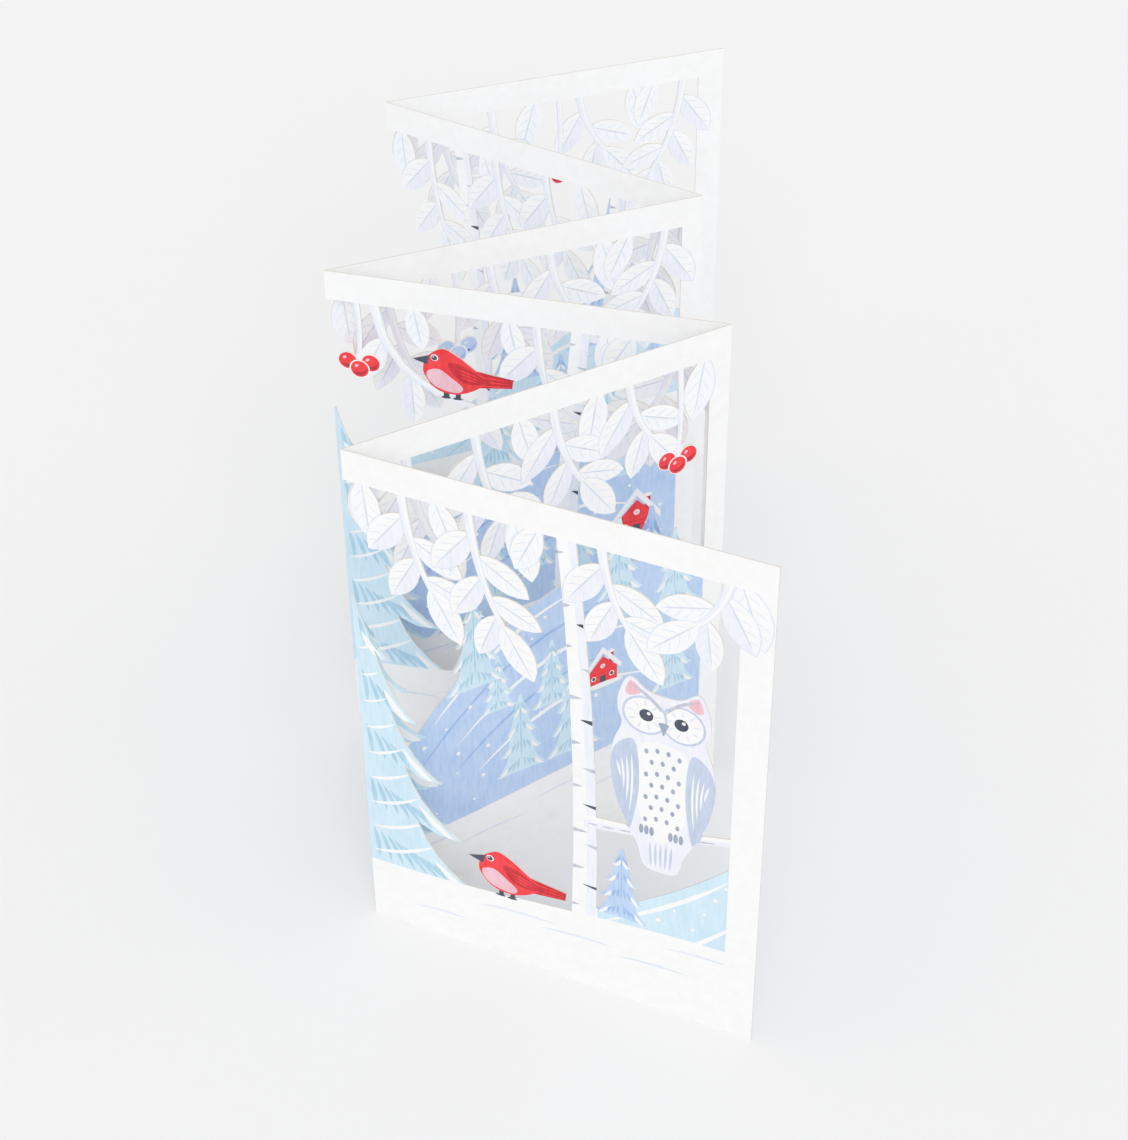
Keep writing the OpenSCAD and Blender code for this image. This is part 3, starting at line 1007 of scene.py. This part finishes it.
def newMaterial(name):
    material = bpy.data.materials.new(name)
    material.use_nodes = True
    tree = material.node_tree
    tree.nodes.clear()
    place = addNode(tree, "ShaderNodeTexCoord").outputs["Object"]
    return material, tree, place


cardFinish = {
    "white": "#F9F9F9",
    "shade": "#F5F5F4",
    "cutEdgeTone": "#DED7CC",  # a warm grey-tan tone on every cut edge
    "faceOn": 0.7,  # panel faces look more along Y than this, cut edges less
    "cloud": 16,  # millimetres
    "cloudShare": 0.6,
    "fibre": 3.5,
    "tooth": 0.9,  # the real tooth is near 0.2 mm; drawn coarser, to show
    "toothDepth": 0.05,
    "toothStrength": 0.12,
    "shadeFrom": 0.05,  # places on the ramp from the core through the shade to the white
    "shadeTo": 0.55,
    "whiteFrom": 0.95,
    "roughness": 0.82,
    "ior": 1.5,
    "gloss": 0.3,
}


# Uncoated wood-free card: matt, faintly cloudy, with a fine tooth and a warmer grey-tan tone on the cut
# edges
def cardMaterial():
    material, tree, place = newMaterial("uncoatedCard")
    normal = addNode(tree, "ShaderNodeTexCoord").outputs["Normal"]
    facing = addNode(tree, "ShaderNodeSeparateXYZ", Vector=normal)
    along = addNode(tree, "ShaderNodeMath", {"operation": "ABSOLUTE"}, Value=facing.outputs["Y"])
    onFace = addNode(tree, "ShaderNodeMath", {"operation": "GREATER_THAN", 1: cardFinish["faceOn"]},
                     Value=along.outputs["Value"])
    noise = "ShaderNodeTexNoise"
    cloud = addNode(tree, noise, {"Scale": perMetre(cardFinish["cloud"]), "Detail": 3.0}, Vector=place)
    tooth = addNode(tree, noise, {"Scale": perMetre(cardFinish["tooth"]), "Detail": 2.0}, Vector=place)
    fibre = addNode(tree, noise, {"Scale": perMetre(cardFinish["fibre"]), "Detail": 4.0}, Vector=place)
    blend = addNode(tree, "ShaderNodeMath", {"operation": "MULTIPLY_ADD", 1: cardFinish["cloudShare"]},
                    Value=cloud.outputs["Fac"])
    tree.links.new(fibre.outputs["Fac"], blend.inputs[2])
    tone = addNode(tree, "ShaderNodeMath", {"operation": "MULTIPLY"}, Value=blend.outputs["Value"])
    tree.links.new(onFace.outputs["Value"], tone.inputs[1])
    ramp = addNode(tree, "ShaderNodeValToRGB", Fac=tone.outputs["Value"])
    stops = ramp.color_ramp.elements
    stops[0].color = linear(cardFinish["cutEdgeTone"])
    stops[1].position = cardFinish["whiteFrom"]
    stops[1].color = linear(cardFinish["white"])
    for name in ("shadeFrom", "shadeTo"):
        stops.new(cardFinish[name]).color = linear(cardFinish["shade"])
    bump = addNode(tree, "ShaderNodeBump", {"Strength": cardFinish["toothStrength"],
                                            "Distance": cardFinish["toothDepth"] * mm},
                   Height=tooth.outputs["Fac"])
    shader = addNode(tree, "ShaderNodeBsdfPrincipled", {"Roughness": cardFinish["roughness"],
                                                        "IOR": cardFinish["ior"],
                                                        "Specular IOR Level": cardFinish["gloss"]},
                     Base_Color=ramp.outputs["Color"], Normal=bump.outputs["Normal"])
    addNode(tree, "ShaderNodeOutputMaterial", Surface=shader.outputs["BSDF"])
    return material


# Two tones of each ink: where it lies full, and where it lies thin
inks = {
    "paleBlue": ("#CAE5F3", "#D6ECF8"),
    "needleBlue": ("#A9CFE4", "#B8D9EB"),
    "periwinkle": ("#B6CFF1", "#C5DAF6"),
    "deepBlue": ("#9BB9E5", "#AAC4EB"),
    "frost": ("#E0E7F1", "#E9EEF6"),
    "mist": ("#F3F5FA", "#F6F8FC"),
    "lavender": ("#EBEDF7", "#F2F3FB"),
    "wingBlue": ("#BECBE2", "#CBD6E9"),
    "greyBlue": ("#9AA5BA", "#A9B3C6"),
    "grey": ("#BCC2CE", "#C9CED8"),
    "veinGrey": ("#D3DBE8", "#DDE3ED"),
    "slate": ("#414855", "#515867"),
    "red": ("#EC363F", "#F9484E"),
    "deepRed": ("#C22631", "#D2323C"),
    "rose": ("#EEBBC7", "#F3CAD3"),
}
inkFinish = {
    "patch": 9,  # millimetres
    "patchShare": 0.7,
    "bristle": 1.1,  # brush marks of the drawing, about this wide
    "drawn": 0.18,  # the marks are this share as fine along the stroke
    "bristleDepth": 0.03,
    "bristleStrength": 0.1,
    "fullTo": 0.62,  # place on the ramp up to which the ink lies full
    "roughness": 0.6,
    "ior": 1.5,
    "gloss": 0.35,
}


# Offset ink on uncoated card: flat fields with the dry brush marks of the drawing
def inkMaterial(name):
    full, thin = inks[name]
    material, tree, place = newMaterial("offsetInk_" + name)
    drawn = addNode(tree, "ShaderNodeMapping", {"Scale": (1, 1, inkFinish["drawn"])}, Vector=place)
    noise = "ShaderNodeTexNoise"
    patch = addNode(tree, noise, {"Scale": perMetre(inkFinish["patch"]), "Detail": 3.0}, Vector=place)
    bristle = addNode(tree, noise, {"Scale": perMetre(inkFinish["bristle"]), "Detail": 2.0},
                      Vector=drawn.outputs["Vector"])
    blend = addNode(tree, "ShaderNodeMath", {"operation": "MULTIPLY_ADD", 1: inkFinish["patchShare"]},
                    Value=patch.outputs["Fac"])
    tree.links.new(bristle.outputs["Fac"], blend.inputs[2])
    ramp = addNode(tree, "ShaderNodeValToRGB", Fac=blend.outputs["Value"])
    stops = ramp.color_ramp.elements
    stops[0].position = inkFinish["fullTo"]
    stops[0].color = linear(full)
    stops[1].color = linear(thin)
    bump = addNode(tree, "ShaderNodeBump", {"Strength": inkFinish["bristleStrength"],
                                            "Distance": inkFinish["bristleDepth"] * mm},
                   Height=bristle.outputs["Fac"])
    shader = addNode(tree, "ShaderNodeBsdfPrincipled", {"Roughness": inkFinish["roughness"],
                                                        "IOR": inkFinish["ior"],
                                                        "Specular IOR Level": inkFinish["gloss"]},
                     Base_Color=ramp.outputs["Color"], Normal=bump.outputs["Normal"])
    addNode(tree, "ShaderNodeOutputMaterial", Surface=shader.outputs["BSDF"])
    return material


card.data.materials.clear()
card.data.materials.append(cardMaterial())
print("card finish is on")

for ink in inks:
    verts, polygons, _ = inkMeshes[ink]
    mesh = bpy.data.meshes.new("ink_" + ink)
    mesh.from_pydata(verts, [], polygons)
    piece = bpy.data.objects.new("ink_" + ink, mesh)
    bpy.context.collection.objects.link(piece)
    bpy.context.view_layer.objects.active = piece
    bpy.ops.object.mode_set(mode="EDIT")
    bpy.ops.mesh.select_all(action="SELECT")
    bpy.ops.mesh.dissolve_limited(angle_limit=math.radians(film["flat"]))  # fields of one ink become one
    bpy.ops.object.mode_set(mode="OBJECT")
    layer = piece.modifiers.new("layer", "SOLIDIFY")
    layer.thickness = (film["proud"] + film["sunk"]) * mm
    layer.offset = -1
    bpy.ops.object.modifier_apply(modifier="layer")
    mesh.materials.append(inkMaterial(ink))
    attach(piece, "root")
    print("ink", ink, "-", len(mesh.polygons), "faces")

# Floor and light
stage = {
    "floor": ("#F1F1F1", "#F4F4F4"),
    "size": 12,  # metres
    "grain": 400,
    "roughness": 0.95,
    "world": 0.88,
    "key": 0.64,
    "keySoft": 38,  # degrees across, as a large softbox far off
    "keyDown": 38,  # degrees under the level
    "keySide": 4,
}

bpy.ops.mesh.primitive_plane_add(size=stage["size"], location=(0, 0, 0))
floor = bpy.context.object
floor.name = "floor"
floorMaterial, tree, place = newMaterial("paintedStudioFloor")  # dead matt, with broad faint clouds
grain = addNode(tree, "ShaderNodeTexNoise", {"Scale": perMetre(stage["grain"]), "Detail": 2.0}, Vector=place)
ramp = addNode(tree, "ShaderNodeValToRGB", Fac=grain.outputs["Fac"])
for stop, tone in zip(ramp.color_ramp.elements, stage["floor"]):
    stop.color = linear(tone)
shader = addNode(tree, "ShaderNodeBsdfPrincipled", {"Roughness": stage["roughness"],
                                                    "Specular IOR Level": 0.0},
                 Base_Color=ramp.outputs["Color"])
addNode(tree, "ShaderNodeOutputMaterial", Surface=shader.outputs["BSDF"])
floor.data.materials.append(floorMaterial)

world = bpy.data.worlds.new("studio")
world.use_nodes = True
sky = world.node_tree.nodes["Background"]
sky.inputs["Color"].default_value = linear("#FFFFFF")
sky.inputs["Strength"].default_value = stage["world"]
bpy.context.scene.world = world

keyTurn = (math.radians(90 - stage["keyDown"]), 0, math.radians(stage["keySide"]))
bpy.ops.object.light_add(type="SUN", location=(0, -1, 1), rotation=keyTurn)
key = bpy.context.object
key.data.energy = stage["key"]
key.data.angle = math.radians(stage["keySoft"])

# Camera of the photograph
photo = {
    "place": (9.2, -607.75, 527.2),  # millimetres
    "down": 36.03,
    "roll": -0.351,
    "sensor": 36,
    "lens": 72.417,
    "shift": (-0.00552, -0.0561),
    "nearest": 10,  # millimetres
}
cameraData = bpy.data.cameras.new("photo")
cameraData.sensor_fit = "HORIZONTAL"
cameraData.sensor_width = photo["sensor"]
cameraData.lens = photo["lens"]
cameraData.shift_x, cameraData.shift_y = photo["shift"]
cameraData.clip_start = photo["nearest"] * mm
camera = bpy.data.objects.new("photo", cameraData)
bpy.context.collection.objects.link(camera)
tilt = Matrix.Rotation(math.radians(90 - photo["down"]), 4, "X")
roll = Matrix.Rotation(math.radians(photo["roll"]), 4, "Z")
camera.matrix_world = Matrix.Translation(Vector(photo["place"]) * mm) @ (tilt @ roll)
bpy.context.scene.camera = camera
bpy.context.scene.view_settings.view_transform = "Standard"
print("floor, light and camera are set")
